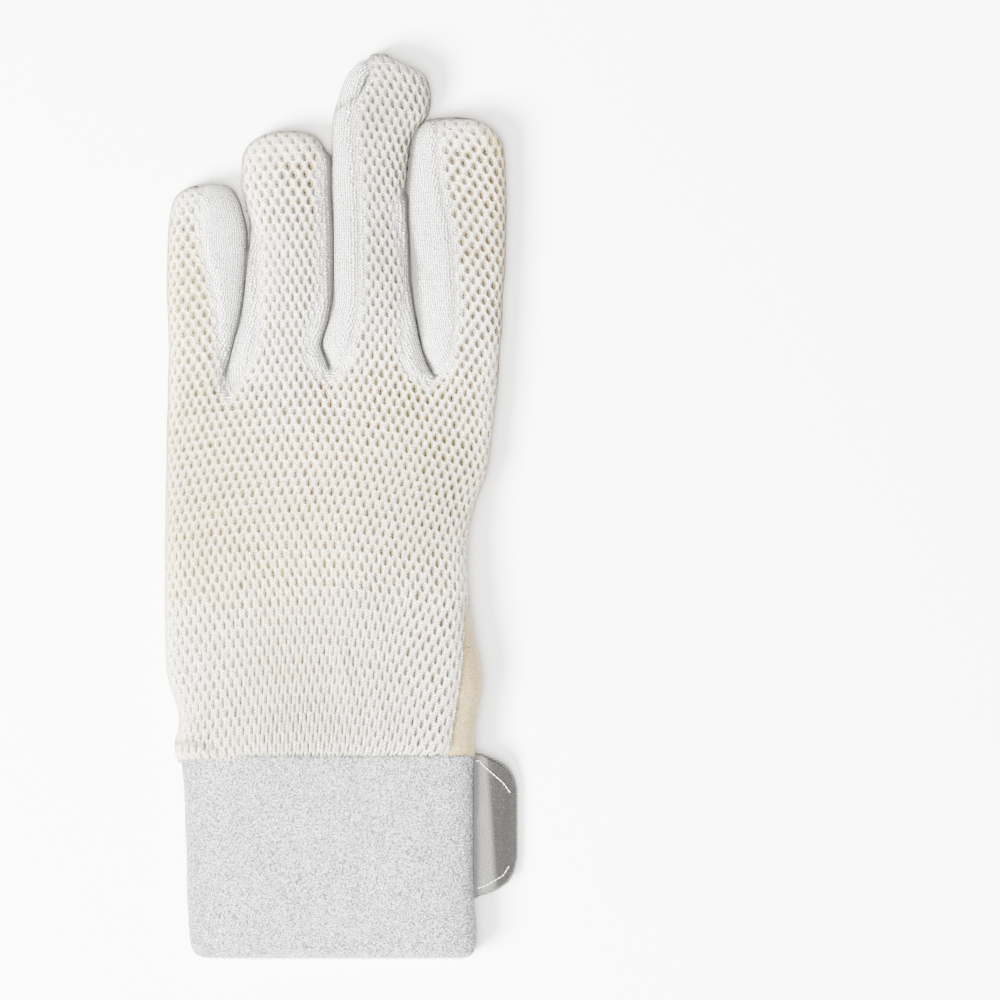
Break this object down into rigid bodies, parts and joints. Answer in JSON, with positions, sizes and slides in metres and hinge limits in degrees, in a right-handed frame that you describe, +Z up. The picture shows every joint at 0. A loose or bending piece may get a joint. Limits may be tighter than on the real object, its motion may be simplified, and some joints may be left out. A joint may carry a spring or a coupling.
{
  "type": "cricket batting inner glove",
  "caption": "Left hand inner glove lying palm down: cotton mesh back, jersey finger sides, leather palm, towelling cuff and a wrist strap end.",
  "frame": {"origin": "centre of the glove's box seen from above, on the surface that it lies on", "axes": "+Z up out of the back of the hand, +Y towards the fingertips, +X towards the thumb side"},
  "size_m": [0.0982, 0.2528, 0.018],
  "materials": {
    "cotton_mesh": "open warp knit mesh of warm white cotton, matt",
    "leather": "soft cream leather, matt with a fine grain",
    "jersey": "white cotton jersey with fine wales, matt",
    "towelling": "cool white looped towelling, matt",
    "strap_cloth": "pale grey woven strap, matt",
    "hook_nylon": "grey nylon hook tape, slightly glossy"
  },
  "bodies": {
    "root": {"back_panel": "cotton_mesh", "palm_panel": "leather", "fourchette_little_ring": "jersey", "fourchette_ring_middle": "jersey", "fourchette_middle_index": "jersey", "thumb": "leather", "cuff_band": "towelling", "closure_tab": "strap_cloth", "hook_tape": "hook_nylon"}
  },
  "joints": []
}
